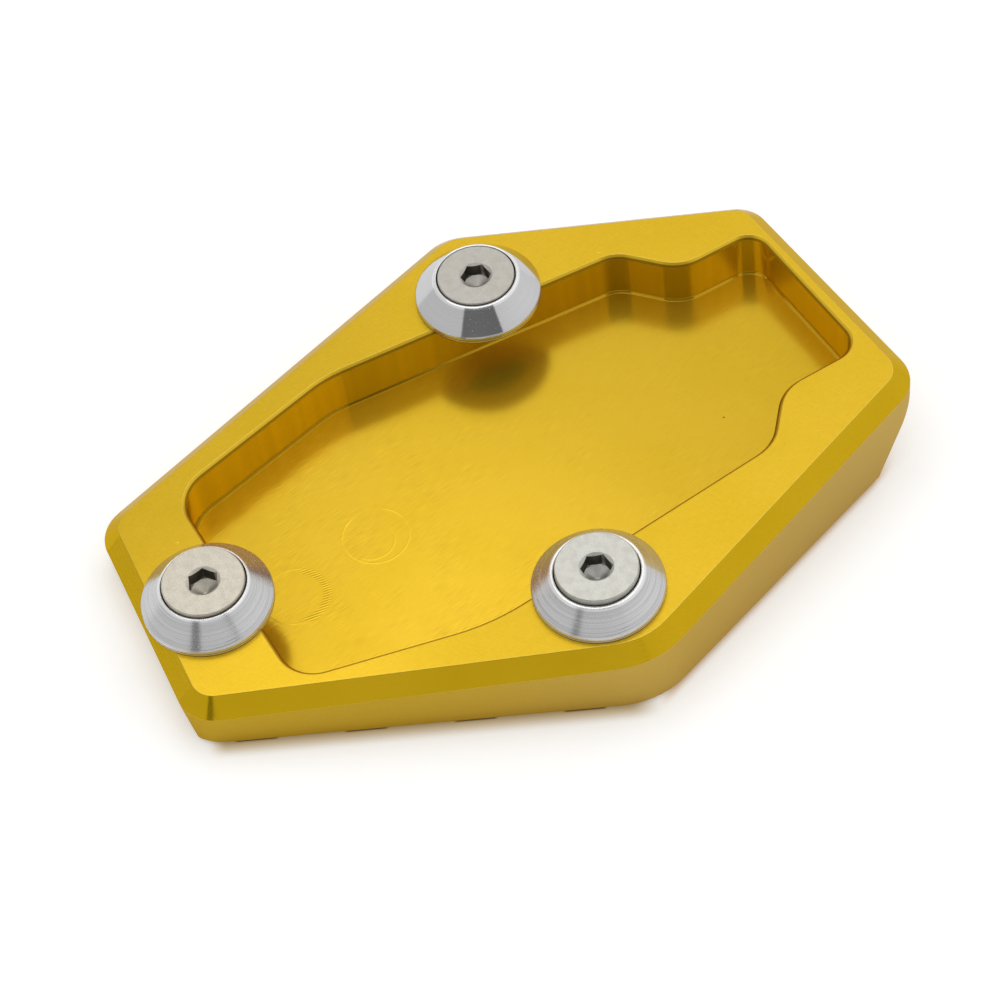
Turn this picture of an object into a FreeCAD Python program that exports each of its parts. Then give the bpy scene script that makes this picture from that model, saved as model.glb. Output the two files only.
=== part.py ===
import FreeCAD, Part
import math
import os

# Kickstand foot enlarger: a wedge-shaped milled plate with a pocket for the side stand's foot,
# three conical clamp washers that reach over the pocket's rim, and their countersunk screws.
# Millimetres and degrees. The pieces are drawn on the plate's top face, the deck: z = 0 is the
# deck, x runs along the front edge from the front left corner, y runs towards the back.
# At the end they are tipped together, so that the wedge's underside lies flat on the ground.

# The plate from its left corner to its right one, and from its front edge to its back left corner
PLATE_LENGTH = 121.8
PLATE_WIDTH = 83.7
FRONT_EDGE_LENGTH = 65.1
LEFT_END = -12.4
RIGHT_END = LEFT_END + PLATE_LENGTH
BACK_RIGHT_INSET = 19.5
BACK_EDGE_SLANT = 1.7

# Plate outline at the walls, counterclockwise: x, y of each corner and its rounding radius
PLATE_CORNERS = {
    "front left": (0.0, 0.0, 6.0),
    "front right": (FRONT_EDGE_LENGTH, 0.0, 13.3),
    "right": (RIGHT_END, 43.9, 6.5),
    "back right": (RIGHT_END - BACK_RIGHT_INSET, PLATE_WIDTH - BACK_EDGE_SLANT, 5.1),
    "back left": (42.2, PLATE_WIDTH, 7.2),
    "left": (LEFT_END, 35.7, 6.3),
}
EDGE_BEVEL = 2.5
LOWER_EDGE_BREAK = 0.4

# The wedge: how thick the plate is at its front left corner, and how its underside slopes away
THICKNESS_AT_CORNER = 8.1
WEDGE_ANGLE = 3.8
WEDGE_HEADING = 16.3

# The right end is bevelled from below, and the left end leans in towards the underside
END_BEVEL_ANGLE = 50.5
END_LIP = 0.5
LEFT_LEAN = 9.0

# Pocket for the foot, counterclockwise too. Each corner is placed from a corner of the plate:
# that corner's name, the steps in x and y from it, and the rounding radius
POCKET_STEPS = {
    "front left": ("front left", 15.4, 3.8, 5.4),
    "front": ("front right", -21.9, 9.1, 31.9),
    "step front": ("right", -23.3, -10.0, 7.1),
    "step back": ("right", -20.5, 0.0, 7.3),
    "right": ("right", -8.1, 6.0, 3.8),
    "back right": ("back right", -0.6, -7.2, 3.3),
    "waist": ("back right", -12.4, -12.7, 6.6),
    "back": ("back right", -22.1, -8.3, 5.4),
    "back left": ("back left", -19.7, -26.9, 17.3),
    "left": ("left", 12.0, 2.8, 6.4),
}
POCKET_DEPTH = 8.0
POCKET_MOUTH_BREAK = 0.6
POCKET_FLOOR_BREAK = 0.3

# Square grip pads on the underside, in a grid that starts at the front left corner
PAD_SIDE = 5.5
PAD_HEIGHT = 0.5
PAD_PITCH = 15.4
PAD_FIRST_X = 9.0
PAD_FRONT_INSET = 1.0

# Clamp washers, turned from bar
WASHER_RADIUS = 9.5
WASHER_BAND = 1.0
WASHER_CONE_ANGLE = 47.0
WASHER_BORE_RADIUS = 3.3

# Countersunk M6 screws with hexagon sockets. Their thread is drawn plain, at its pitch diameter.
THREAD_RADIUS = 2.67
THREAD_CLEARANCE = 0.02
SCREW_LENGTH = 12.0
SCREW_TIP_CHAMFER = 0.5
# How deep the head's cylindrical rim reaches into the washer, and the gap around it there
HEAD_SINK = 0.5
HEAD_GAP = 0.22
HEAD_SEAT_CLEARANCE = 0.02
HEAD_EDGE_BREAK = 0.15
SOCKET_ACROSS_FLATS = 4.0
SOCKET_DEPTH = 2.3
SOCKET_ENTRY_RADIUS = 2.5
SOCKET_ENTRY_DEPTH = 0.3
SOCKET_DRILL_ANGLE = 30.0


class Clamp:
    """One washer and its screw, beside a straight side of the pocket."""

    def __init__(self, side, along, offset, washer_height, head_radius, head_rim, socket_turn):
        self.washer_height = washer_height
        self.head_radius = head_radius
        self.head_rim = head_rim
        self.socket_turn = socket_turn
        self.centre = point_beside(POCKET_CORNERS, side, along, offset)
        self.seat_height = washer_height - HEAD_SINK


def placed_from_plate(steps):
    """Outline whose corners are steps away from the plate's corners."""
    corners = {}
    for name, (plate_corner, step_x, step_y, radius) in steps.items():
        x, y, plate_radius = PLATE_CORNERS[plate_corner]
        corners[name] = (x + step_x, y + step_y, radius)
    return corners


def corner_point(corners, name):
    x, y, radius = corners[name]
    return FreeCAD.Vector(x, y, 0)


def side_direction(corners, start):
    """Unit vector along the side from its starting corner, which names it, to the next corner."""
    names = list(corners)
    end = names[(names.index(start) + 1) % len(names)]
    return (corner_point(corners, end) - corner_point(corners, start)).normalize()


def side_normal(corners, start):
    """Unit vector that points out of a counterclockwise outline at this side."""
    along = side_direction(corners, start)
    return FreeCAD.Vector(along.y, -along.x, 0)


def point_beside(corners, start, along, offset):
    """Point at a distance along a side from its starting corner, and outwards from it."""
    corner = corner_point(corners, start)
    return corner + side_direction(corners, start) * along + side_normal(corners, start) * offset


POCKET_CORNERS = placed_from_plate(POCKET_STEPS)

# Each screw's axis stands at a distance along a pocket side, and offset outwards from it
CLAMPS = {
    "left": Clamp(side="left", along=19.7, offset=4.4, washer_height=4.4,
                  head_radius=5.95, head_rim=1.05, socket_turn=31.0),
    "back": Clamp(side="back", along=21.4, offset=3.2, washer_height=4.4,
                  head_radius=5.8, head_rim=0.75, socket_turn=0.0),
    "right": Clamp(side="front", along=15.0, offset=4.8, washer_height=4.15,
                   head_radius=5.95, head_rim=1.4, socket_turn=0.0),
}

# The underside's own frame, seen from the deck: its z = 0 is the underside, and z points up
HEADING = math.radians(WEDGE_HEADING)
UNDERSIDE = FreeCAD.Placement(
    FreeCAD.Vector(0, 0, -THICKNESS_AT_CORNER),
    FreeCAD.Rotation(FreeCAD.Vector(-math.sin(HEADING), math.cos(HEADING), 0), WEDGE_ANGLE),
)

UP = FreeCAD.Vector(0, 0, 1)
DOWN_AT_UNDERSIDE = UNDERSIDE.Rotation.multVec(-UP)
SAME_PLACE = 1e-4
SAME_ANGLE = 0.5

# Longer than the plate is across, for cuts that go right through or past it
REACH = 2 * max(abs(x) + abs(y) for x, y, radius in PLATE_CORNERS.values())


def rounded_outline(corners):
    """Closed wire through the corners on the deck, each rounded by its own radius."""
    rounds = []
    names = list(corners)
    for index, name in enumerate(names):
        before = side_direction(corners, names[index - 1])
        after = side_direction(corners, name)
        half_turn = before.getAngle(after) / 2
        corner = corner_point(corners, name)
        radius = corners[name][-1]
        tangent = radius * math.tan(half_turn)
        inwards = (after - before).normalize()
        middle = corner + inwards * (radius / math.cos(half_turn) - radius)
        rounds.append((corner - before * tangent, middle, corner + after * tangent))
    edges = []
    for index, (start, middle, end) in enumerate(rounds):
        edges.append(Part.Arc(start, middle, end).toShape())
        next_start = rounds[(index + 1) % len(rounds)][0]
        edges.append(Part.LineSegment(end, next_start).toShape())
    return Part.Wire(edges)


def prism_below_deck(corners, depth):
    return Part.Face(rounded_outline(corners)).extrude(UP * -depth)


def block_beyond(point, normal):
    """Large block with one face through the point, on the side that the normal points to."""
    start = FreeCAD.Vector(-REACH, -REACH, 0)
    block = Part.makeBox(2 * REACH, 2 * REACH, REACH, start)
    block.Placement = FreeCAD.Placement(point, FreeCAD.Rotation(UP, normal))
    return block


def face_in_plane(shape, point, normal):
    """The shape's largest face that lies in the plane and looks along the normal."""
    found = []
    for face in shape.Faces:
        centre = face.CenterOfMass
        if abs((centre - point).dot(normal)) > SAME_PLACE:
            continue
        u, v = face.Surface.parameter(centre)
        if math.degrees(face.normalAt(u, v).getAngle(normal)) < SAME_ANGLE:
            found.append(face)
    return max(found, key=lambda face: face.Area)


def wedge_body():
    """Plate without its pocket: bevelled outline, cut to a wedge, with its two ends relieved."""
    body = prism_below_deck(PLATE_CORNERS, REACH)
    deck = face_in_plane(body, FreeCAD.Vector(), UP)
    body = body.makeChamfer(EDGE_BEVEL, deck.Edges)

    body = body.cut(block_beyond(UNDERSIDE.Base, DOWN_AT_UNDERSIDE))

    lip = FreeCAD.Vector(0, 0, -EDGE_BEVEL - END_LIP)
    bevel_foot = corner_point(PLATE_CORNERS, "right") + lip
    bevel = math.radians(END_BEVEL_ANGLE)
    outwards = side_normal(PLATE_CORNERS, "right")
    bevel_normal = outwards * math.sin(bevel) - UP * math.cos(bevel)
    body = body.cut(block_beyond(bevel_foot, bevel_normal))

    lean_foot = corner_point(PLATE_CORNERS, "left") - UP * EDGE_BEVEL
    lean = math.radians(LEFT_LEAN)
    outwards = side_normal(PLATE_CORNERS, "left")
    lean_normal = outwards * math.cos(lean) - UP * math.sin(lean)
    body = body.cut(block_beyond(lean_foot, lean_normal))

    underside = face_in_plane(body, UNDERSIDE.Base, DOWN_AT_UNDERSIDE)
    return body.makeChamfer(LOWER_EDGE_BREAK, underside.Edges)


def pocket_cutter():
    """The pocket's space, with the small bevel that the cutter's tip leaves at its floor."""
    cutter = prism_below_deck(POCKET_CORNERS, POCKET_DEPTH)
    floor = face_in_plane(cutter, UP * -POCKET_DEPTH, -UP)
    return cutter.makeChamfer(POCKET_FLOOR_BREAK, floor.Edges)


def grip_pads(body):
    """Square pads under the wedge, wherever the grid's square lies wholly on its underside."""
    footprint = face_in_plane(body, UNDERSIDE.Base, DOWN_AT_UNDERSIDE)
    count = math.ceil(REACH / PAD_PITCH)
    pads = []
    for column in range(-count, count):
        for row in range(count):
            x = PAD_FIRST_X - PAD_SIDE / 2 + column * PAD_PITCH
            y = PAD_FRONT_INSET + row * PAD_PITCH
            square = [(x, y), (x + PAD_SIDE, y), (x + PAD_SIDE, y + PAD_SIDE), (x, y + PAD_SIDE)]
            spots = [UNDERSIDE.multVec(FreeCAD.Vector(px, py, 0)) for px, py in square]
            if all(footprint.isInside(spot, SAME_PLACE, True) for spot in spots):
                pad = Part.makeBox(PAD_SIDE, PAD_SIDE, PAD_HEIGHT, FreeCAD.Vector(x, y, -PAD_HEIGHT))
                pad.Placement = UNDERSIDE.multiply(pad.Placement)
                pads.append(pad)
    return pads


def screw_hole(clamp):
    """Through hole for one screw, drawn at the thread's pitch diameter."""
    radius = THREAD_RADIUS + THREAD_CLEARANCE
    return Part.makeCylinder(radius, 2 * REACH, clamp.centre - UP * REACH)


def base_plate():
    body = wedge_body()
    pads = grip_pads(body)
    body = body.cut(pocket_cutter())
    deck = face_in_plane(body, FreeCAD.Vector(), UP)
    mouth = [wire for wire in deck.Wires if not wire.isSame(deck.OuterWire)][0]
    body = body.makeChamfer(POCKET_MOUTH_BREAK, mouth.Edges)
    body = body.fuse(pads)
    return body.cut([screw_hole(clamp) for clamp in CLAMPS.values()])


def turned(profile, centre):
    """Solid of revolution about the upright axis through centre, from (radius, height) points."""
    points = [FreeCAD.Vector(radius, 0, height) for radius, height in profile]
    solid = Part.Face(Part.makePolygon(points + points[:1])).revolve(FreeCAD.Vector(), UP, 360)
    solid.translate(centre)
    return solid


def clamp_washer(clamp):
    """Washer with a cylindrical band and a steep cone. Its countersunk bore opens into a straight
    mouth, which leaves a narrow gap around the screw's head."""
    top = clamp.washer_height
    cone_run = (top - WASHER_BAND) / math.tan(math.radians(WASHER_CONE_ANGLE))
    mouth_radius = clamp.head_radius + HEAD_GAP
    seat_edge = clamp.seat_height + HEAD_GAP - HEAD_SEAT_CLEARANCE
    profile = [
        (WASHER_BORE_RADIUS, 0),
        (WASHER_RADIUS, 0),
        (WASHER_RADIUS, WASHER_BAND),
        (WASHER_RADIUS - cone_run, top),
        (mouth_radius, top),
        (mouth_radius, seat_edge),
        (WASHER_BORE_RADIUS, seat_edge - (mouth_radius - WASHER_BORE_RADIUS)),
    ]
    return turned(profile, clamp.centre)


def hexagon_socket(clamp, top):
    """Space of the hexagon socket: entry cone, hexagon and the drill's cone at its end."""
    flat = SOCKET_ACROSS_FLATS / 2
    sixth = 2 * math.pi / 6
    corner = flat / math.cos(sixth / 2)
    points = []
    for index in range(6):
        angle = math.radians(clamp.socket_turn) + sixth * index
        points.append(FreeCAD.Vector(corner * math.cos(angle), corner * math.sin(angle), top))
    hexagon = Part.Face(Part.makePolygon(points + points[:1])).extrude(UP * -SOCKET_DEPTH)
    hexagon.translate(clamp.centre)
    floor = top - SOCKET_DEPTH
    drill_depth = flat * math.tan(math.radians(SOCKET_DRILL_ANGLE))
    drilled = turned([(0, floor - drill_depth), (flat, floor), (flat, top), (0, top)], clamp.centre)
    entry = turned([(0, top - SOCKET_ENTRY_DEPTH), (flat, top - SOCKET_ENTRY_DEPTH),
                    (SOCKET_ENTRY_RADIUS, top), (0, top)], clamp.centre)
    return hexagon.fuse([drilled, entry])


def screw(clamp):
    """Countersunk screw, seated in its washer, with its plain-drawn thread in the plate."""
    top = clamp.seat_height + clamp.head_rim
    tip = top - SCREW_LENGTH
    profile = [
        (0, tip),
        (THREAD_RADIUS - SCREW_TIP_CHAMFER, tip),
        (THREAD_RADIUS, tip + SCREW_TIP_CHAMFER),
        (THREAD_RADIUS, clamp.seat_height - (clamp.head_radius - THREAD_RADIUS)),
        (clamp.head_radius, clamp.seat_height),
        (clamp.head_radius, top - HEAD_EDGE_BREAK),
        (clamp.head_radius - HEAD_EDGE_BREAK, top),
        (0, top),
    ]
    return turned(profile, clamp.centre).cut(hexagon_socket(clamp, top))


def stand_on_ground(pieces):
    """Tip every piece with the wedge, and put the origin under the middle of the whole part."""
    to_ground = UNDERSIDE.inverse()
    for piece in pieces.values():
        piece.Placement = to_ground.multiply(piece.Placement)
    box = Part.makeCompound(list(pieces.values())).optimalBoundingBox(False)
    for piece in pieces.values():
        piece.translate(FreeCAD.Vector(-box.Center.x, -box.Center.y, -box.ZMin))


def main():
    pieces = {"base_plate": base_plate()}
    for name, clamp in CLAMPS.items():
        pieces["clamp_washer_" + name] = clamp_washer(clamp)
        pieces["screw_" + name] = screw(clamp)
    stand_on_ground(pieces)
    os.makedirs("parts", exist_ok=True)
    for node, piece in pieces.items():
        piece.exportStep("parts/" + node + ".step")
        box = piece.BoundBox
        print(node, piece.isValid(), len(piece.Solids), round(piece.Volume, 1),
              [round(value, 2) for value in (box.XMin, box.YMin, box.ZMin, box.XMax, box.YMax, box.ZMax)])


main()
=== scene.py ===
import math
from collections import namedtuple

import bpy
from mathutils import Matrix, Vector

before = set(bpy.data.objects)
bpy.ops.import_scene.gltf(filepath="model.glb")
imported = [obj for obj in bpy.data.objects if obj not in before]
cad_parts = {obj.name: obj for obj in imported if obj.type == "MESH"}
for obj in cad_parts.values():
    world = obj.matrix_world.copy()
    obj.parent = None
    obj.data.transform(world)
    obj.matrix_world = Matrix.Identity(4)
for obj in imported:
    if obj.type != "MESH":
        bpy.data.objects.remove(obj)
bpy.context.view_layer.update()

MM = 0.001
WHITE = (1, 1, 1, 1)

# The camera stands where the photograph was taken from: place in millimetres, angles in degrees
CAMERA_PLACE = Vector((-17.0, -289.6, 358.5)) * MM
CAMERA_PAN = 3.05
CAMERA_TILT = 51.25
CAMERA_ROLL = -2.72
CAMERA_LENS = 111.7
SENSOR_WIDTH = 36.0

# The deck is the plate's top face. It is tipped by the wedge, and its own frame starts at the
# plate's sharp front left corner, with x along the front edge and z out of the deck.
WEDGE_ANGLE = math.radians(3.8)
WEDGE_HEADING = math.radians(16.3)
DECK_CORNER = Vector((-48.4, -41.9, 8.6)) * MM
DECK_NORMAL = Vector((
    -math.sin(WEDGE_ANGLE) * math.cos(WEDGE_HEADING),
    -math.sin(WEDGE_ANGLE) * math.sin(WEDGE_HEADING),
    math.cos(WEDGE_ANGLE),
))
DECK_TURN = Vector((0, 0, 1)).rotation_difference(DECK_NORMAL)


# Shader graphs

class Graph:
    """Short calls for the shader nodes that the materials share. Values are numbers or sockets."""

    def __init__(self, tree):
        self.nodes = tree.nodes
        self.links = tree.links
        self.nodes.clear()

    def add(self, kind, **settings):
        node = self.nodes.new(kind)
        for key, value in settings.items():
            setattr(node, key, value)
        return node

    def put(self, socket, value):
        if isinstance(value, bpy.types.NodeSocket):
            self.links.new(value, socket)
        else:
            socket.default_value = value

    def math(self, operation, *values):
        node = self.add("ShaderNodeMath", operation=operation)
        for socket, value in zip(node.inputs, values):
            self.put(socket, value)
        return node.outputs[0]

    def plus(self, first, *others):
        for value in others:
            first = self.math("ADD", first, value)
        return first

    def times(self, first, *others):
        for value in others:
            first = self.math("MULTIPLY", first, value)
        return first

    def minus(self, first, second):
        return self.math("SUBTRACT", first, second)

    def inverse(self, mask):
        return self.minus(1.0, mask)

    def vector(self, operation, *values):
        node = self.add("ShaderNodeVectorMath", operation=operation)
        for socket, value in zip(node.inputs, values):
            self.put(socket, value)
        return node.outputs["Value" if operation in ("DOT_PRODUCT", "LENGTH") else "Vector"]

    def smooth(self, value, low, high, start=0.0, end=1.0):
        """From start at low to end at high, with a soft turn at both."""
        node = self.add("ShaderNodeMapRange", interpolation_type="SMOOTHSTEP")
        for name, number in (("Value", value), ("From Min", low), ("From Max", high),
                             ("To Min", start), ("To Max", end)):
            self.put(node.inputs[name], number)
        return node.outputs[0]

    def fall(self, value, low, high):
        """1 up to low, falling to 0 at high."""
        return self.smooth(value, low, high, 1.0, 0.0)

    def band(self, value, middle, half_width, softness):
        """1 where value is near middle, falling off softly past half_width."""
        away = self.math("ABSOLUTE", self.minus(value, middle))
        return self.fall(away, half_width, half_width + softness)

    def split(self, vector):
        node = self.add("ShaderNodeSeparateXYZ")
        self.put(node.inputs[0], vector)
        return node.outputs[0], node.outputs[1], node.outputs[2]

    def join(self, x, y, z):
        node = self.add("ShaderNodeCombineXYZ")
        for socket, value in zip(node.inputs, (x, y, z)):
            self.put(socket, value)
        return node.outputs[0]

    def noise(self, vector, scale, detail=2.0):
        node = self.add("ShaderNodeTexNoise")
        self.put(node.inputs["Vector"], vector)
        node.inputs["Scale"].default_value = scale
        node.inputs["Detail"].default_value = detail
        return node.outputs["Fac"]

    def mix_colour(self, factor, first, second, blend="MIX"):
        node = self.add("ShaderNodeMix", data_type="RGBA", blend_type=blend)
        self.put(node.inputs[0], factor)
        self.put(node.inputs[6], first)
        self.put(node.inputs[7], second)
        return node.outputs[2]

    def bump(self, height, normal):
        """The normal, disturbed by a relief whose height is in millimetres."""
        node = self.add("ShaderNodeBump")
        node.inputs["Strength"].default_value = 1.0
        node.inputs["Distance"].default_value = MM
        self.put(node.inputs["Height"], height)
        self.put(node.inputs["Normal"], normal)
        return node.outputs[0]

    def principled(self, output, colour, roughness, normal, metallic):
        node = self.add("ShaderNodeBsdfPrincipled")
        self.put(node.inputs["Base Color"], colour)
        self.put(node.inputs["Roughness"], roughness)
        self.put(node.inputs["Normal"], normal)
        self.put(node.inputs["Metallic"], metallic)
        self.put(output.inputs["Surface"], node.outputs[0])
        return node


def new_material(name):
    material = bpy.data.materials.new(name)
    material.use_nodes = True
    graph = Graph(material.node_tree)
    return material, graph, graph.add("ShaderNodeOutputMaterial")


# Camera

def make_camera():
    pan, tilt, roll = (math.radians(a) for a in (CAMERA_PAN, CAMERA_TILT, CAMERA_ROLL))
    forward = Vector((
        math.sin(pan) * math.cos(tilt),
        math.cos(pan) * math.cos(tilt),
        -math.sin(tilt),
    ))
    level = Vector((math.cos(pan), -math.sin(pan), 0))
    above = level.cross(forward)
    right = level * math.cos(roll) + above * math.sin(roll)
    up = above * math.cos(roll) - level * math.sin(roll)
    data = bpy.data.cameras.new("camera")
    data.lens = CAMERA_LENS
    data.sensor_width = SENSOR_WIDTH
    data.clip_start = 0.01
    data.clip_end = 20
    camera = bpy.data.objects.new("camera", data)
    bpy.context.scene.collection.objects.link(camera)
    turn = Matrix((right, up, -forward)).transposed().to_4x4()
    camera.matrix_world = Matrix.Translation(CAMERA_PLACE) @ turn
    bpy.context.scene.camera = camera


# Studio. The room is a white tent, dim near the ground and brighter high up behind the object.
# The person at the camera and a stand's leg nearer the object are dark shapes that only
# reflections show. The camera itself sees a white backdrop.

ROOM_DIM = 0.62
ROOM_BRIGHT = 0.93
BRIGHT_SIDE = (0.3, 0.45, 0.841)
# Cosines of the angles from the bright side at which the room is dim and at which it is bright
BRIGHT_SPREAD = (0.78, 0.95)
RIGHT_SIDE_GAIN = 0.16

# Place and size in metres
SOFTBOX_PLACE = Vector((-0.14, 0.14, 0.9))
SOFTBOX_SIZE = (0.8, 0.7)
SOFTBOX_RADIANCE = 0.9

DARK_LEVEL = 0.16
# How far in front, then left, right, foot and top of each dark shape, in millimetres
DARK_SHAPES = {
    "person": (-300, -265, 190, 227, 640),
    "stand_leg": (-173, -149, -103, 0, 115),
}

FLOOR_SIZE = 6
FLOOR_COLOUR = (0.88, 0.88, 0.88, 1)
CAMERA_FILL = 0.31
GLOSSY_FILL = 0.05

# Warm shadows at the feet of the plate's front walls, in millimetres: the way out of the wall, the
# foot's distance from the origin that way, how far out from it the shadow is full and where it
# ends, its left and right ends along x, and its tint
WallShadow = namedtuple("WallShadow", "outwards foot full end left right tint")
FRONT_SHADOW = WallShadow(outwards=(0.0, -1.0, 0.0), foot=41.73, full=-0.4, end=2.4,
                          left=-46.5, right=18.0, tint=(0.60, 0.47, 0.27, 1))
RIGHT_SHADOW = WallShadow(outwards=(0.704, -0.71, 0.0), foot=41.87, full=-0.5, end=0.9,
                          left=17.0, right=58.0, tint=(0.78, 0.61, 0.44, 1))
# The shadows end under the plate, this far in from a wall's foot, and fade at their two ends
SHADOW_INNER_END = (-4.0, -2.0)
SHADOW_FADE_LEFT = 3.0
SHADOW_FADE_RIGHT = 5.0

# Painted shadow spots in the front shadow, where the front grip pads stand under the plate, in
# millimetres. The middle is that of the leftmost spot, the reach is how far out from the wall's
# foot the spots fade, and the row ends softly at the left and at the right.
PAD_SPOT_MIDDLE = -39.4
PAD_SPOT_PITCH = 15.4
PAD_SPOT_HALF_WIDTH = 2.5
PAD_SPOT_SOFTNESS = 0.8
PAD_SPOT_REACH = (-0.55, -0.25)
PAD_SHADOW_TINT = (0.25, 0.20, 0.14, 1)
PAD_ROW_LEFT = -43.0
PAD_ROW_RIGHT = 10.0
PAD_ROW_FADE = 0.5


def make_world():
    world = bpy.data.worlds.new("studio")
    bpy.context.scene.world = world
    world.use_nodes = True
    graph = Graph(world.node_tree)
    output = graph.add("ShaderNodeOutputWorld")
    direction = graph.add("ShaderNodeTexCoord").outputs["Generated"]
    x = graph.split(direction)[0]
    towards_bright = graph.vector("DOT_PRODUCT", direction, BRIGHT_SIDE)
    level = graph.smooth(towards_bright, *BRIGHT_SPREAD, ROOM_DIM, ROOM_BRIGHT)
    right = graph.times(graph.math("MAXIMUM", x, 0.0), RIGHT_SIDE_GAIN)
    room = graph.add("ShaderNodeBackground")
    graph.put(room.inputs["Strength"], graph.plus(level, right))
    backdrop = graph.add("ShaderNodeBackground")
    for shader in (room, backdrop):
        shader.inputs["Color"].default_value = WHITE
    mix = graph.add("ShaderNodeMixShader")
    graph.put(mix.inputs[0], graph.add("ShaderNodeLightPath").outputs["Is Camera Ray"])
    graph.put(mix.inputs[1], room.outputs[0])
    graph.put(mix.inputs[2], backdrop.outputs[0])
    graph.put(output.inputs[0], mix.outputs[0])


def make_softbox():
    width, depth = SOFTBOX_SIZE
    data = bpy.data.lights.new("softbox", "AREA")
    data.shape = "RECTANGLE"
    data.size = width
    data.size_y = depth
    data.energy = SOFTBOX_RADIANCE * math.pi * width * depth
    light = bpy.data.objects.new("softbox", data)
    bpy.context.scene.collection.objects.link(light)
    turn = (-SOFTBOX_PLACE).to_track_quat("-Z", "Y").to_matrix().to_4x4()
    light.matrix_world = Matrix.Translation(SOFTBOX_PLACE) @ turn


def dark_card(name, material, front, left, right, foot, top):
    """Upright dark rectangle on the camera's side. Reflections show it, the camera doesn't."""
    mesh = bpy.data.meshes.new(name)
    corners = [(left, foot), (left, top), (right, top), (right, foot)]
    mesh.from_pydata([(x * MM, front * MM, z * MM) for x, z in corners], [], [(0, 1, 2, 3)])
    mesh.materials.append(material)
    card = bpy.data.objects.new(name, mesh)
    bpy.context.scene.collection.objects.link(card)
    card.visible_camera = False
    card.visible_diffuse = False
    card.visible_shadow = False


def make_dark_cards():
    material, graph, output = new_material("dark_cloth")
    glow = graph.add("ShaderNodeEmission")
    glow.inputs["Color"].default_value = WHITE
    glow.inputs["Strength"].default_value = DARK_LEVEL
    graph.put(output.inputs["Surface"], glow.outputs[0])
    for name, shape in DARK_SHAPES.items():
        dark_card(name, material, *shape)


def beyond_foot(graph, place, shadow):
    """How far a spot of the floor lies out from a wall's foot, and a mask that keeps shadows
    from reaching far in under the plate."""
    away = graph.minus(graph.vector("DOT_PRODUCT", place, shadow.outwards), shadow.foot)
    return away, graph.smooth(away, *SHADOW_INNER_END)


def wall_shadow(graph, place, x, shadow):
    """Mask of the warm shadow at a wall's foot."""
    away, inner = beyond_foot(graph, place, shadow)
    return graph.times(inner, graph.fall(away, shadow.full, shadow.end),
                       graph.smooth(x, shadow.left, shadow.left + SHADOW_FADE_LEFT),
                       graph.fall(x, shadow.right - SHADOW_FADE_RIGHT, shadow.right))


def pad_shadow_spots(graph, place, x):
    """Mask of the painted shadow spots that stand for the front grip pads at the front wall's
    foot.
    """
    away, inner = beyond_foot(graph, place, FRONT_SHADOW)
    half_pitch = PAD_SPOT_PITCH / 2
    pitches = graph.math("DIVIDE", graph.minus(x, PAD_SPOT_MIDDLE - half_pitch), PAD_SPOT_PITCH)
    along_pitch = graph.times(graph.math("FRACT", pitches), PAD_SPOT_PITCH)
    spot = graph.band(along_pitch, half_pitch, PAD_SPOT_HALF_WIDTH, PAD_SPOT_SOFTNESS)
    return graph.times(spot, graph.fall(away, *PAD_SPOT_REACH), inner,
                       graph.smooth(x, PAD_ROW_LEFT, PAD_ROW_LEFT + PAD_ROW_FADE),
                       graph.fall(x, PAD_ROW_RIGHT, PAD_ROW_RIGHT + PAD_ROW_FADE))


def floor_tint(graph):
    """White, with painted shadows at the feet of the plate's front walls and under the grip pads.
    """
    place = graph.add("ShaderNodeTexCoord").outputs["Object"]
    place = graph.vector("MULTIPLY", place, (1 / MM, 1 / MM, 1 / MM))
    x = graph.split(place)[0]
    tint = WHITE
    for shadow in (FRONT_SHADOW, RIGHT_SHADOW):
        near = wall_shadow(graph, place, x, shadow)
        tint = graph.mix_colour(near, tint, shadow.tint, blend="MULTIPLY")
    # The front grip pads' painted shadow spots
    spots = pad_shadow_spots(graph, place, x)
    return graph.mix_colour(spots, tint, PAD_SHADOW_TINT, blend="MULTIPLY")


def make_floor():
    material, graph, output = new_material("floor")
    tint = floor_tint(graph)
    diffuse = graph.add("ShaderNodeBsdfDiffuse")
    graph.put(diffuse.inputs["Color"], graph.mix_colour(1.0, tint, FLOOR_COLOUR, blend="MULTIPLY"))
    fill = graph.add("ShaderNodeEmission")
    graph.put(fill.inputs["Color"], tint)
    path = graph.add("ShaderNodeLightPath")
    seen = graph.times(path.outputs["Is Camera Ray"], CAMERA_FILL)
    mirrored = graph.times(path.outputs["Is Glossy Ray"], GLOSSY_FILL)
    graph.put(fill.inputs["Strength"], graph.math("MAXIMUM", seen, mirrored))
    add = graph.add("ShaderNodeAddShader")
    graph.put(add.inputs[0], diffuse.outputs[0])
    graph.put(add.inputs[1], fill.outputs[0])
    graph.put(output.inputs["Surface"], add.outputs[0])
    bpy.ops.mesh.primitive_plane_add(size=FLOOR_SIZE, location=(0, 0, 0))
    floor = bpy.context.object
    floor.name = "floor"
    floor.data.materials.append(material)


def make_studio():
    make_world()
    make_softbox()
    make_dark_cards()
    make_floor()


# Surfaces. Lengths inside the shaders are millimetres in the deck's frame. The named ramps below
# are what Graph.smooth or Graph.fall takes: low and high, and for some start and end too.

# Cosines between a face and its rounded normal, from an edge to a flat place
EDGE_TURN = (0.93, 0.985)


def deck_place(graph):
    """The surface point in the deck's frame, in millimetres."""
    node = graph.add("ShaderNodeMapping", vector_type="TEXTURE")
    graph.put(node.inputs["Vector"], graph.add("ShaderNodeTexCoord").outputs["Object"])
    node.inputs["Location"].default_value = DECK_CORNER
    node.inputs["Rotation"].default_value = DECK_TURN.to_euler()
    node.inputs["Scale"].default_value = (MM, MM, MM)
    return node.outputs[0]


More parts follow.
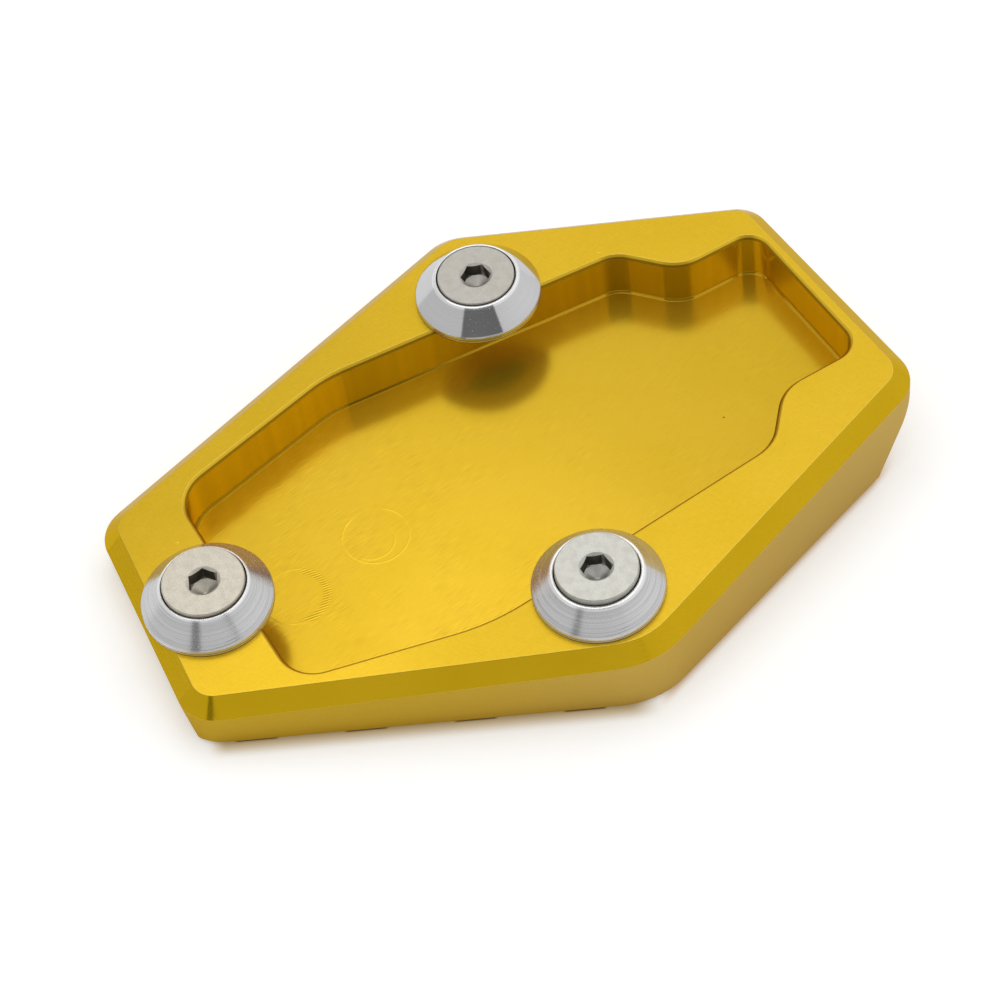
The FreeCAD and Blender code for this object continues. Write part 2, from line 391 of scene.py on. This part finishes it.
def facing_up(graph):
    """How far the surface looks the deck's way: 1 on the deck and the pocket's floor, 0 on a
    wall, -1 on the underside."""
    normal = graph.add("ShaderNodeTexCoord").outputs["Normal"]
    return graph.vector("DOT_PRODUCT", normal, DECK_NORMAL)


def rounded_edges(graph, radius):
    """The normal as if the edges were rounded to the radius, and a mask that is 1 along them."""
    edge = graph.add("ShaderNodeBevel", samples=6)
    edge.inputs["Radius"].default_value = radius * MM
    face = graph.add("ShaderNodeNewGeometry").outputs["True Normal"]
    turn = graph.vector("DOT_PRODUCT", face, edge.outputs[0])
    return edge.outputs[0], graph.fall(turn, *EDGE_TURN)


def waves(graph, length, pitch):
    """Sine ridges of the given pitch along a length, from -1 to 1."""
    return graph.math("SINE", graph.times(length, 2 * math.pi / pitch))


def rotated(graph, x, y, angle):
    """The coordinates along and across a direction at the given angle from the deck's x."""
    c, s = math.cos(angle), math.sin(angle)
    along = graph.plus(graph.times(x, c), graph.times(y, s))
    across = graph.minus(graph.times(y, c), graph.times(x, s))
    return along, across


def distance_from(graph, x, y, centre_x, centre_y):
    offset = graph.join(graph.minus(x, centre_x), graph.minus(y, centre_y), 0.0)
    return graph.vector("LENGTH", offset)


# Milling marks

CUTTER_RADIUS = 4.8
CUTTER_FEED = 0.33
CUTTER_STEP = 3.6
CUTTER_HEADING = math.radians(-55)
# How far the cutter's arcs wander, and the scale of the noise that moves them
CUTTER_WANDER, CUTTER_WANDER_SCALE = 0.5, 0.5
# Heading, length and width of the short strokes on the pocket's floor and of the deck's grain
FLOOR_STROKES = (math.radians(35), 2.4, 0.16)
DECK_STROKES = (math.radians(40), 1.6, 0.2), (math.radians(-38), 1.6, 0.24)

# The cutter's circles on the pocket's floor
Ring = namedtuple("Ring", "x y radius")
PLUNGE_RING = Ring(27.6, 32.5, 4.95)
INNER_RING = Ring(26.9, 31.7, 3.4)
CHATTER_RING = Ring(15.4, 23.5, 4.86)
RING_HALF_WIDTH, RING_SOFTNESS = 0.04, 0.12
INNER_RING_FADE = 3.0
# The ripples just inside the third circle, on its right half
CHATTER_PITCH = 0.42
CHATTER_HEADING = math.radians(14)
CHATTER_INSET, CHATTER_HALF_WIDTH, CHATTER_SOFTNESS = 0.3, 0.35, 0.45
CHATTER_FADE = 2.0

# Where the marks are strong and where weak: the slice and scale of a noise, and its ramp
PATCH_SLICE = 3.0
PLUNGE_PATCH_SCALE, PLUNGE_PATCHES = 0.22, (0.42, 0.58, 0.25, 1.0)
FLOOR_PATCH_SCALE, FLOOR_PATCHES = 0.16, (0.35, 0.65, 0.3, 1.0)
# They also fade towards the back right, over x and a share of y
FLOOR_FADING = (20.0, 95.0, 1.0, 0.45)
FADING_Y_SHARE = 0.5

# How deep each mark is in millimetres, and how much lighter or darker it looks
ARC_DEPTH, ARC_TONE = 0.002, 0.08
STROKE_DEPTH, STROKE_TONE = 0.013, 0.75
PLUNGE_DEPTH, PLUNGE_TONE = 0.009, 0.25
INNER_DEPTH, INNER_TONE = 0.008, 0.2
STOP_DEPTH, STOP_TONE = 0.008, 0.1
CHATTER_DEPTH, CHATTER_TONE = 0.014, 0.3
# The deck's painted sheen along its heading, from darker to brighter, and where it ends along x
SHEEN_HEADING = math.radians(-60)
SHEEN_SPAN = (-32.0, 0.0)
SHEEN_TONES = (-0.13, 0.15)
SHEEN_END = (18.0, 46.0)
# Small flecks on the plate: x, y, radius and how much lighter or darker. Each is full up to the
# given share of its radius.
FLECKS = ((80.5, 46.1, 0.22, -0.7), (65.5, 74.6, 0.18, 0.4), (-0.3, 29.8, 0.18, 0.4))
FLECK_CORE = 0.4


def cutter_arcs(graph, x, y):
    """The shallow arcs that an end mill leaves on a floor, lane by lane, from -1 to 1."""
    along, across = rotated(graph, x, y, CUTTER_HEADING)
    lane = graph.math("FRACT", graph.math("DIVIDE", across, CUTTER_STEP))
    offset = graph.times(graph.minus(lane, 0.5), CUTTER_STEP)
    squared = graph.times(offset, offset)
    sagitta = graph.math("SQRT", graph.minus(CUTTER_RADIUS ** 2, squared))
    wander = graph.noise(graph.join(x, y, 0.0), CUTTER_WANDER_SCALE)
    wander = graph.times(wander, CUTTER_WANDER)
    return waves(graph, graph.plus(along, sagitta, wander), CUTTER_FEED)


def ring_line(graph, x, y, ring):
    """A cutter's thin circle where it went down, and the distance from the circle's centre."""
    away = distance_from(graph, x, y, ring.x, ring.y)
    return graph.band(away, ring.radius, RING_HALF_WIDTH, RING_SOFTNESS), away


def scratches(graph, x, y, heading, length, width):
    """Noise drawn out along a heading, for short parallel strokes, from 0 to 1."""
    along, across = rotated(graph, x, y, heading)
    along = graph.math("DIVIDE", along, length)
    across = graph.math("DIVIDE", across, width)
    return graph.noise(graph.join(along, across, 0.0), 1.0, detail=1.0)


def cutter_rings(graph, x, y, spot):
    """The cutter's circles on the pocket's floor, each with its depth and its tone."""
    plunge, _ = ring_line(graph, x, y, PLUNGE_RING)
    patchy = graph.smooth(graph.noise(spot, PLUNGE_PATCH_SCALE), *PLUNGE_PATCHES)
    plunge = graph.times(plunge, patchy)

    inner, _ = ring_line(graph, x, y, INNER_RING)
    middle = INNER_RING.x - INNER_RING.y
    right_front = graph.smooth(graph.minus(x, y), middle, middle + INNER_RING_FADE)
    inner = graph.times(inner, right_front)

    stop, away = ring_line(graph, x, y, CHATTER_RING)
    _, across = rotated(graph, x, y, CHATTER_HEADING)
    just_inside = graph.band(away, CHATTER_RING.radius - CHATTER_INSET, CHATTER_HALF_WIDTH,
                             CHATTER_SOFTNESS)
    right_half = graph.smooth(x, CHATTER_RING.x, CHATTER_RING.x + CHATTER_FADE)
    chatter = graph.times(waves(graph, across, CHATTER_PITCH), just_inside, right_half)
    return ((plunge, PLUNGE_DEPTH, PLUNGE_TONE), (inner, INNER_DEPTH, INNER_TONE),
            (stop, STOP_DEPTH, STOP_TONE), (chatter, CHATTER_DEPTH, CHATTER_TONE))


def floor_marks(graph, x, y):
    """Height of the milling marks on the pocket's floor in millimetres, and their tone
    around 0."""
    spot = graph.join(x, y, PATCH_SLICE)
    patchy = graph.smooth(graph.noise(spot, FLOOR_PATCH_SCALE), *FLOOR_PATCHES)
    fading = graph.smooth(graph.plus(x, graph.times(y, FADING_Y_SHARE)), *FLOOR_FADING)
    strength = graph.times(patchy, fading)
    arcs = cutter_arcs(graph, x, y)
    strokes = graph.minus(scratches(graph, x, y, *FLOOR_STROKES), 0.5)
    height = graph.plus(graph.times(arcs, ARC_DEPTH), graph.times(strokes, STROKE_DEPTH))
    height = graph.times(height, strength)
    tone = graph.plus(graph.times(arcs, ARC_TONE), graph.times(strokes, STROKE_TONE))
    tone = graph.times(tone, strength)
    for line, depth, line_tone in cutter_rings(graph, x, y, spot):
        height = graph.plus(height, graph.times(line, depth))
        tone = graph.plus(tone, graph.times(line, line_tone))
    return height, tone


def painted_deck_sheen(graph, x, y):
    """Painted sheen: how much brighter the deck is towards its front left corner than at its left
    end.
    """
    along, _ = rotated(graph, x, y, SHEEN_HEADING)
    shine = graph.smooth(along, *SHEEN_SPAN, *SHEEN_TONES)
    return graph.times(shine, graph.fall(x, *SHEEN_END))


def deck_grain(graph, x, y):
    """The fine crossed grain that face milling leaves on the deck, around 0."""
    first, second = (scratches(graph, x, y, *strokes) for strokes in DECK_STROKES)
    return graph.minus(graph.plus(first, second), 1.0)


# The anodised plate

# Heights over the deck that part the pocket's floor from the deck, and the plate's middle
POCKET_LEVEL = (-5.0, -4.0)
PLATE_MIDDLE = (50.0, 42.0, -4.0)
# Which way a surface looks: the deck's way, aside, and towards the plate's middle
LOOKS_UP = (0.9, 0.99)
LOOKS_ASIDE = (0.1, 0.35)
LOOKS_INWARDS = (-2.0, 0.0)

# Colours of each region, as pairs between which noise or the place on the plate mixes
BEVEL_GOLD = (0.69, 0.435, 0.006, 1), (0.72, 0.46, 0.010, 1)
DECK_GOLD = (0.735, 0.475, 0.022, 1), (0.765, 0.495, 0.028, 1)
FLOOR_GOLD = (0.68, 0.436, 0.019, 1), (0.705, 0.453, 0.025, 1)
# The pocket's walls: a painted reflection towards their ends, painted shade in a band along x
INNER_WALL_LIGHT_AND_SHADE = (0.86, 0.58, 0.012, 1), (0.635, 0.407, 0.0075, 1)
# The outer walls: gold that turns paler towards the right as a painted whiter reflection
OUTER_WALL_GOLD_AND_REFLECTION = (0.66, 0.43, 0.035, 1), (0.66, 0.46, 0.14, 1)
# The pocket's mouth: painted shade low on its break and a painted highlight high on it
MOUTH_SHADE_AND_HIGHLIGHT = (0.34, 0.18, 0.005, 1), (0.88, 0.57, 0.030, 1)
# The floor's break: painted shade in the crease, darker towards the left
FLOOR_BREAK_SHADE = (0.40, 0.22, 0.005, 1), (0.64, 0.38, 0.020, 1)
EDGE_HIGHLIGHT_GOLD = (0.97, 0.80, 0.26, 1)
# What mixes them: noise, or a place along x, or for the mouth a height over the deck. The inner
# wall's is a band, with its middle, half width and softness.
DRIFT_SCALE, DRIFT = 0.06, (0.3, 0.7)
INNER_WALL_BAND = (60.0, 12.0, 14.0)
OUTER_WALL_SPAN = (20.0, 100.0)
MOUTH_SPAN = (-0.40, -0.28)
FLOOR_BREAK_SPAN = (30.0, 50.0)

# The plate's fine relief in millimetres, and how much each kind of mark changes the tone
FINE_GRAIN_SCALE, FINE_GRAIN_DEPTH, FINE_GRAIN_TONE = 2.6, 0.0025, 0.12
DECK_GRAIN_DEPTH, DECK_GRAIN_TONE = 0.012, 0.13
WALL_STREAK_SCALE, WALL_STREAK_TONE = 0.8, 0.35
WALL_STROKE_STRETCH, WALL_STROKE_DEPTH = (0.25, 0.25, 7.0), 0.007

# The rounded edges, with a painted highlight from just below the deck's height upwards
PLATE_EDGE_RADIUS = 0.16
EDGE_HIGHLIGHT_SHARE = 0.6
EDGE_HIGHLIGHT_FROM = (-0.3, -0.12)
PLATE_ROUGHNESS = 0.11
GRAIN_ROUGHNESS = 0.04
EXTRA_ROUGHNESS = {
    "deck": 0.27,
    "floor": 0.07,
    "inner_wall": 0.01,
    "outer_wall": 0.2,
    "mouth": 0.2,
}
PLATE_METALLIC = 0.81
FLOOR_METALLIC_LOSS = 0.09
PLATE_SPECULAR_TINT = (0.9, 0.75, 0.4, 1)


def plate_regions(graph, place, z):
    """Masks of the plate's surfaces by name, from where they lie and which way they look."""
    up = facing_up(graph)
    flat = graph.smooth(up, *LOOKS_UP)
    wall = graph.fall(up, *LOOKS_ASIDE)
    outwards = graph.vector("SUBTRACT", place, PLATE_MIDDLE)
    normal = graph.add("ShaderNodeTexCoord").outputs["Normal"]
    inside = graph.fall(graph.vector("DOT_PRODUCT", normal, outwards), *LOOKS_INWARDS)
    in_pocket = graph.fall(z, *POCKET_LEVEL)
    floor = graph.times(flat, in_pocket)
    inner_wall = graph.times(wall, inside)
    inner_slope = graph.times(graph.inverse(flat), graph.inverse(wall), inside)
    return {
        "flat": flat,
        "floor": floor,
        "deck": graph.minus(flat, floor),
        "inner_wall": inner_wall,
        "outer_wall": graph.minus(wall, inner_wall),
        "mouth": graph.times(inner_slope, graph.inverse(in_pocket)),
        "floor_break": graph.times(inner_slope, in_pocket),
    }


def plate_colour(graph, place, x, z, regions):
    """The anodising's colour by region, with painted light and shade on the walls, mouth and
    break.
    """
    drift = graph.smooth(graph.noise(place, DRIFT_SCALE, detail=3.0), *DRIFT)
    colour = graph.mix_colour(drift, *BEVEL_GOLD)
    for region, factor, pair in (
        ("deck", drift, DECK_GOLD),
        ("floor", drift, FLOOR_GOLD),
        ("inner_wall", graph.band(x, *INNER_WALL_BAND), INNER_WALL_LIGHT_AND_SHADE),
        ("outer_wall", graph.smooth(x, *OUTER_WALL_SPAN), OUTER_WALL_GOLD_AND_REFLECTION),
        ("mouth", graph.smooth(z, *MOUTH_SPAN), MOUTH_SHADE_AND_HIGHLIGHT),
        ("floor_break", graph.smooth(x, *FLOOR_BREAK_SPAN), FLOOR_BREAK_SHADE),
    ):
        colour = graph.mix_colour(regions[region], colour, graph.mix_colour(factor, *pair))
    return colour


def plate_shade(graph, x, y, grain, marks_tone, crossed, regions):
    """How much lighter or darker than its colour each plate spot is, around 1, with a painted deck
    sheen.
    """
    streaks = graph.noise(graph.join(x, y, 0.0), WALL_STREAK_SCALE, detail=3.0)
    streaks = graph.minus(streaks, 0.5)
    shade = graph.times(graph.minus(grain, 0.5), FINE_GRAIN_TONE)
    for region, tone, share in (
        ("floor", marks_tone, 1.0),
        ("deck", crossed, DECK_GRAIN_TONE),
        ("deck", painted_deck_sheen(graph, x, y), 1.0),
        ("inner_wall", streaks, WALL_STREAK_TONE),
    ):
        shade = graph.plus(shade, graph.times(regions[region], tone, share))
    for fleck_x, fleck_y, size, change in FLECKS:
        away = distance_from(graph, x, y, fleck_x, fleck_y)
        shade = graph.plus(shade, graph.smooth(away, FLECK_CORE * size, size, change, 0.0))
    return graph.plus(shade, 1.0)


def plate_relief(graph, place, grain, marks, crossed, regions):
    """Height of the plate's fine relief, in millimetres."""
    strokes = graph.noise(graph.vector("MULTIPLY", place, WALL_STROKE_STRETCH), 1.0)
    strokes = graph.times(strokes, WALL_STROKE_DEPTH, graph.inverse(regions["flat"]))
    return graph.plus(graph.times(grain, FINE_GRAIN_DEPTH), strokes,
                      graph.times(marks, regions["floor"]),
                      graph.times(crossed, DECK_GRAIN_DEPTH, regions["deck"]))


def anodised_gold():
    material, graph, output = new_material("anodised_gold")
    place = deck_place(graph)
    x, y, z = graph.split(place)
    regions = plate_regions(graph, place, z)
    grain = graph.noise(place, FINE_GRAIN_SCALE, detail=3.0)
    marks, marks_tone = floor_marks(graph, x, y)
    crossed = deck_grain(graph, x, y)

    colour = plate_colour(graph, place, x, z, regions)
    shade = plate_shade(graph, x, y, grain, marks_tone, crossed, regions)
    colour = graph.mix_colour(1.0, colour, graph.join(shade, shade, shade), blend="MULTIPLY")
    rounded, edge = rounded_edges(graph, PLATE_EDGE_RADIUS)
    # A painted highlight along the rounded edges
    edge = graph.times(edge, graph.smooth(z, *EDGE_HIGHLIGHT_FROM))
    colour = graph.mix_colour(graph.times(edge, EDGE_HIGHLIGHT_SHARE), colour, EDGE_HIGHLIGHT_GOLD)

    roughness = graph.plus(graph.times(grain, GRAIN_ROUGHNESS), PLATE_ROUGHNESS)
    for region, extra in EXTRA_ROUGHNESS.items():
        roughness = graph.plus(roughness, graph.times(regions[region], extra))

    relief = plate_relief(graph, place, grain, marks, crossed, regions)
    metallic = graph.minus(PLATE_METALLIC, graph.times(regions["floor"], FLOOR_METALLIC_LOSS))
    shader = graph.principled(output, colour, roughness, graph.bump(relief, rounded), metallic)
    shader.inputs["Specular Tint"].default_value = PLATE_SPECULAR_TINT
    return material


# Washers and screws

# The tool's path over a washer: how much finer its grooves are over the radius than over the
# height, where in the noise they are taken from, and the noise's detail
FINE_TURNING = (9.0, 0.0, 3.0)
COARSE_TURNING = (2.6, 7.0, 1.0)
DRIFT_AROUND = 0.9
LONE_GROOVES = (0.66, 0.7)
FINE_GROOVE_DEPTH = 0.006
LONE_GROOVE_DEPTH = 0.012
WASHER_EDGE_RADIUS = 0.45

# Heights over the deck: the raised foot line, the top of the washer's band, the groove in the band
# with its half width and softness, and the line where the washer touches the deck. The last two
# are painted shade lines.
FOOT_LINE = (0.28, 0.44, 0.07, 0.0)
WASHER_BAND_TOP = (0.9, 1.0)
BAND_GROOVE = (0.4, 0.04, 0.06)
CONTACT_SHADE_LINE = (0.06, 0.14, 0.85, 0.0)
GROOVE_SHARE = 0.85
# Depths below the washer's top, of the lip's painted highlight and of the painted shade in the gap
# around the screw's head
LIP_LOW, LIP_HIGH = 0.42, 0.24
MOUTH_LOW, MOUTH_HIGH = 0.08, 0.02
MOUTH_SOFTNESS = 0.04
# Which way its underside looks, against the deck's way
LOOKS_DOWN = (-0.6, -0.3)

# Tones of a washer without grooves, how far grooves draw them apart, and how much bluer than
# grey they are
DULL_TONE, DULLER = 0.71, 0.08
BRIGHT_TONE, BRIGHTER = 0.72, 0.05
BLUER = 0.01
TONE_SPAN = (0.35, 0.65)
# Colours of the washer's places
# Painted shade: the groove's line in the band and the line where the washer touches the deck
GROOVE_AND_CONTACT_SHADE = (0.09, 0.08, 0.06, 1)
# Painted shade in the gap between the washer's mouth and the screw's head
MOUTH_GAP_SHADE = (0.09, 0.09, 0.08, 1)
# The lip's painted highlight
LIP_HIGHLIGHT = (0.94, 0.94, 0.94, 1)
BAND_COLOUR = (0.86, 0.86, 0.85, 1)
# The underside, painted lighter so that its shaded reflection in the pocket's floor is less dark
UNDERSIDE_PAINTED_LIGHT = (0.90, 0.87, 0.80, 1)

# Roughness and metal share without polish, and what full polish takes from or adds to them
MATT_ROUGHNESS, POLISH_ROUGHNESS = 0.26, 0.18
MATT_METALLIC, POLISH_METALLIC = 0.76, 0.24
PIT_SCALE, PITS, PIT_ROUGHNESS = 3.4, (0.69, 0.73), 0.3
BAND_ROUGHNESS = 0.2
UNDERSIDE_ROUGHNESS = 0.35

# Distances from the screw's axis at which the socket ends and the head's outer part begins
SOCKET_EDGE = (2.4, 2.45)
HEAD_RIM = (4.0, 4.2)
HEAD_EDGE_RADIUS = 0.12
# How far up the head's side and the socket's walls look, at most
HEAD_SIDE = (0.3, 0.7)
SOCKET_WALL = (0.05, 0.2)
# Depths below the washer's top of the painted shade in the gap around the head
GAP_LOW, GAP_HIGH = 0.2, 0.08

# Noise that marks the steel: fine mottling, broad clouds and small spots
MOTTLE_SCALE, MOTTLE_DEPTH, MOTTLE_ROUGHNESS = 6.0, 0.008, 0.12
CLOUD_SCALE, CLOUD_DEPTH, CLOUD_ROUGHNESS = 0.8, 0.02, 0.12
SPOT_SCALE, SPOTS = 5.0, (0.72, 0.78)
WORN_PATCHES = (0.42, 0.62)
STEEL_ROUGHNESS = 0.28
RIM_ROUGHNESS = 0.3

# Colours over the screw's tint, and how much of each shows: a painted highlight on the head's
# edges, worn patches, spots, and painted shade in the socket and in the gap around the head
DARK_TINT_SHARE = 0.86
HEAD_EDGE_HIGHLIGHT, HEAD_EDGE_HIGHLIGHT_SHARE = (0.88, 0.87, 0.84, 1), 0.6
WORN_COLOUR, WORN_SHARE = (0.36, 0.33, 0.27, 1), 0.16
SPOT_COLOUR, SPOT_SHARE = (0.30, 0.28, 0.24, 1), 0.5
SOCKET_AND_GAP_SHADE, SOCKET_AND_GAP_SHADE_SHARE = (0.06, 0.055, 0.045, 1), 0.85

# For each clamp: the washer's height and the radius of its mouth, how polished and how grooved it
# is, and the tint of its screw. The screws are of one steel; their tints differ as painted light
# and shade.
Clamp = namedtuple("Clamp", "washer_top mouth polish grooves screw_tint")
CLAMPS = {
    "left": Clamp(4.4, 6.17, 0.5, 0.9, (0.68, 0.63, 0.53)),
    "back": Clamp(4.4, 6.02, 1.0, 0.15, (0.57, 0.545, 0.49)),
    "right": Clamp(4.15, 6.17, 0.4, 1.2, (0.63, 0.62, 0.565)),
}


def turned_place(graph, centre):
    """The surface point and its distance from a turned piece's axis, both in millimetres, the
    direction from the axis, and the height over the deck."""
    place = deck_place(graph)
    height = graph.split(place)[2]
    x, y, _ = graph.split(graph.vector("SUBTRACT", place, centre))
    away = graph.join(x, y, 0.0)
    return place, graph.vector("LENGTH", away), graph.vector("NORMALIZE", away), height


def turning_grooves(graph, radius, around, height, stretch, shift, detail):
    """Noise drawn out along the turning tool's path, from 0 to 1."""
    drift = graph.vector("SCALE", around)
    drift.node.inputs["Scale"].default_value = DRIFT_AROUND
    path = graph.join(graph.times(radius, stretch), shift, height)
    return graph.noise(graph.vector("ADD", drift, path), 1.0, detail)


def turned_aluminium(name, centre, clamp):
    material, graph, output = new_material(name)
    place, radius, around, height = turned_place(graph, centre)
    fine = turning_grooves(graph, radius, around, height, *FINE_TURNING)
    coarse = turning_grooves(graph, radius, around, height, *COARSE_TURNING)
    lone = graph.smooth(coarse, *LONE_GROOVES)
    foot_line = graph.smooth(height, *FOOT_LINE)
    relief = graph.plus(graph.times(fine, FINE_GROOVE_DEPTH * clamp.grooves),
                        graph.times(lone, LONE_GROOVE_DEPTH * clamp.grooves), foot_line)

    dull = DULL_TONE - DULLER * clamp.grooves
    bright = BRIGHT_TONE + BRIGHTER * clamp.grooves
    colour = graph.mix_colour(graph.smooth(fine, *TONE_SPAN), (dull, dull, dull + BLUER, 1),
                              (bright, bright, bright + BLUER, 1))
    lip = graph.smooth(height, clamp.washer_top - LIP_LOW, clamp.washer_top - LIP_HIGH)
    band = graph.fall(height, *WASHER_BAND_TOP)
    groove = graph.times(graph.band(height, *BAND_GROOVE), GROOVE_SHARE)
    lines = graph.math("MAXIMUM", groove, graph.smooth(height, *CONTACT_SHADE_LINE))
    underside = graph.fall(facing_up(graph), *LOOKS_DOWN)
    # Painted shade in the gap between the washer's mouth and the screw's head
    in_mouth = graph.times(
        graph.fall(radius, clamp.mouth, clamp.mouth + MOUTH_SOFTNESS),
        graph.fall(height, clamp.washer_top - MOUTH_LOW, clamp.washer_top - MOUTH_HIGH),
    )
    # Painted highlight, band, painted shade lines, lighter-painted underside and painted gap shade
    for mask, paint in ((lip, LIP_HIGHLIGHT), (band, BAND_COLOUR), (lines, GROOVE_AND_CONTACT_SHADE),
                        (underside, UNDERSIDE_PAINTED_LIGHT), (in_mouth, MOUTH_GAP_SHADE)):
        colour = graph.mix_colour(mask, colour, paint)

    pits = graph.smooth(graph.noise(place, PIT_SCALE, detail=1.0), *PITS)
    roughness = graph.plus(graph.times(pits, PIT_ROUGHNESS),
                           MATT_ROUGHNESS - POLISH_ROUGHNESS * clamp.polish,
                           graph.times(band, BAND_ROUGHNESS),
                           graph.times(underside, UNDERSIDE_ROUGHNESS))
    rounded, _ = rounded_edges(graph, WASHER_EDGE_RADIUS)
    metallic = MATT_METALLIC + POLISH_METALLIC * clamp.polish
    graph.principled(output, colour, roughness, graph.bump(relief, rounded), metallic)
    return material


def stainless(name, centre, clamp):
    material, graph, output = new_material(name)
    place, radius, _, height = turned_place(graph, centre)
    up = facing_up(graph)
    mottle = graph.noise(place, MOTTLE_SCALE, detail=5.0)
    cloud = graph.noise(place, CLOUD_SCALE)
    spots = graph.smooth(graph.noise(place, SPOT_SCALE, detail=1.0), *SPOTS)
    rounded, edge = rounded_edges(graph, HEAD_EDGE_RADIUS)
    worn = graph.smooth(cloud, *WORN_PATCHES)
    outer = graph.smooth(radius, *HEAD_RIM)
    rim = graph.times(graph.fall(up, *HEAD_SIDE), outer)
    in_gap = graph.fall(height, clamp.washer_top - GAP_LOW, clamp.washer_top - GAP_HIGH)
    in_gap = graph.times(in_gap, outer)
    socket_wall = graph.times(graph.fall(radius, *SOCKET_EDGE), graph.fall(up, *SOCKET_WALL))
    # Painted shade in the socket and in the gap around the head
    shade = graph.math("MAXIMUM", socket_wall, in_gap)

    dark_tint = tuple(DARK_TINT_SHARE * value for value in clamp.screw_tint)
    colour = graph.mix_colour(graph.smooth(mottle, *TONE_SPAN), (*dark_tint, 1),
                              (*clamp.screw_tint, 1))
    for mask, share, paint in (
        (edge, HEAD_EDGE_HIGHLIGHT_SHARE, HEAD_EDGE_HIGHLIGHT),
        (worn, WORN_SHARE, WORN_COLOUR),
        (spots, SPOT_SHARE, SPOT_COLOUR),
        (shade, SOCKET_AND_GAP_SHADE_SHARE, SOCKET_AND_GAP_SHADE),
    ):
        colour = graph.mix_colour(graph.times(mask, share), colour, paint)

    roughness = graph.plus(graph.times(mottle, MOTTLE_ROUGHNESS), STEEL_ROUGHNESS,
                           graph.times(rim, RIM_ROUGHNESS), graph.times(cloud, CLOUD_ROUGHNESS))
    relief = graph.plus(graph.times(mottle, MOTTLE_DEPTH), graph.times(cloud, CLOUD_DEPTH))
    graph.principled(output, colour, roughness, graph.bump(relief, rounded), 1.0)
    return material


def axis_place(node):
    """Where a turned piece's axis stands in the deck's frame, in millimetres."""
    corners = [node.matrix_world @ Vector(corner) for corner in node.bound_box]
    local = [DECK_TURN.inverted() @ (corner - DECK_CORNER) / MM for corner in corners]
    return sum(local, Vector()) / len(local)


def dress_nodes():
    for name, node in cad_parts.items():
        kind, _, place = name.rpartition("_")
        if kind == "clamp_washer":
            finish = turned_aluminium(name + "_metal", axis_place(node), CLAMPS[place])
        elif kind == "screw":
            finish = stainless(name + "_steel", axis_place(node), CLAMPS[place])
        else:
            finish = anodised_gold()
        node.data.materials.clear()
        node.data.materials.append(finish)


make_camera()
make_studio()
dress_nodes()

bpy.context.scene.view_settings.view_transform = "Standard"
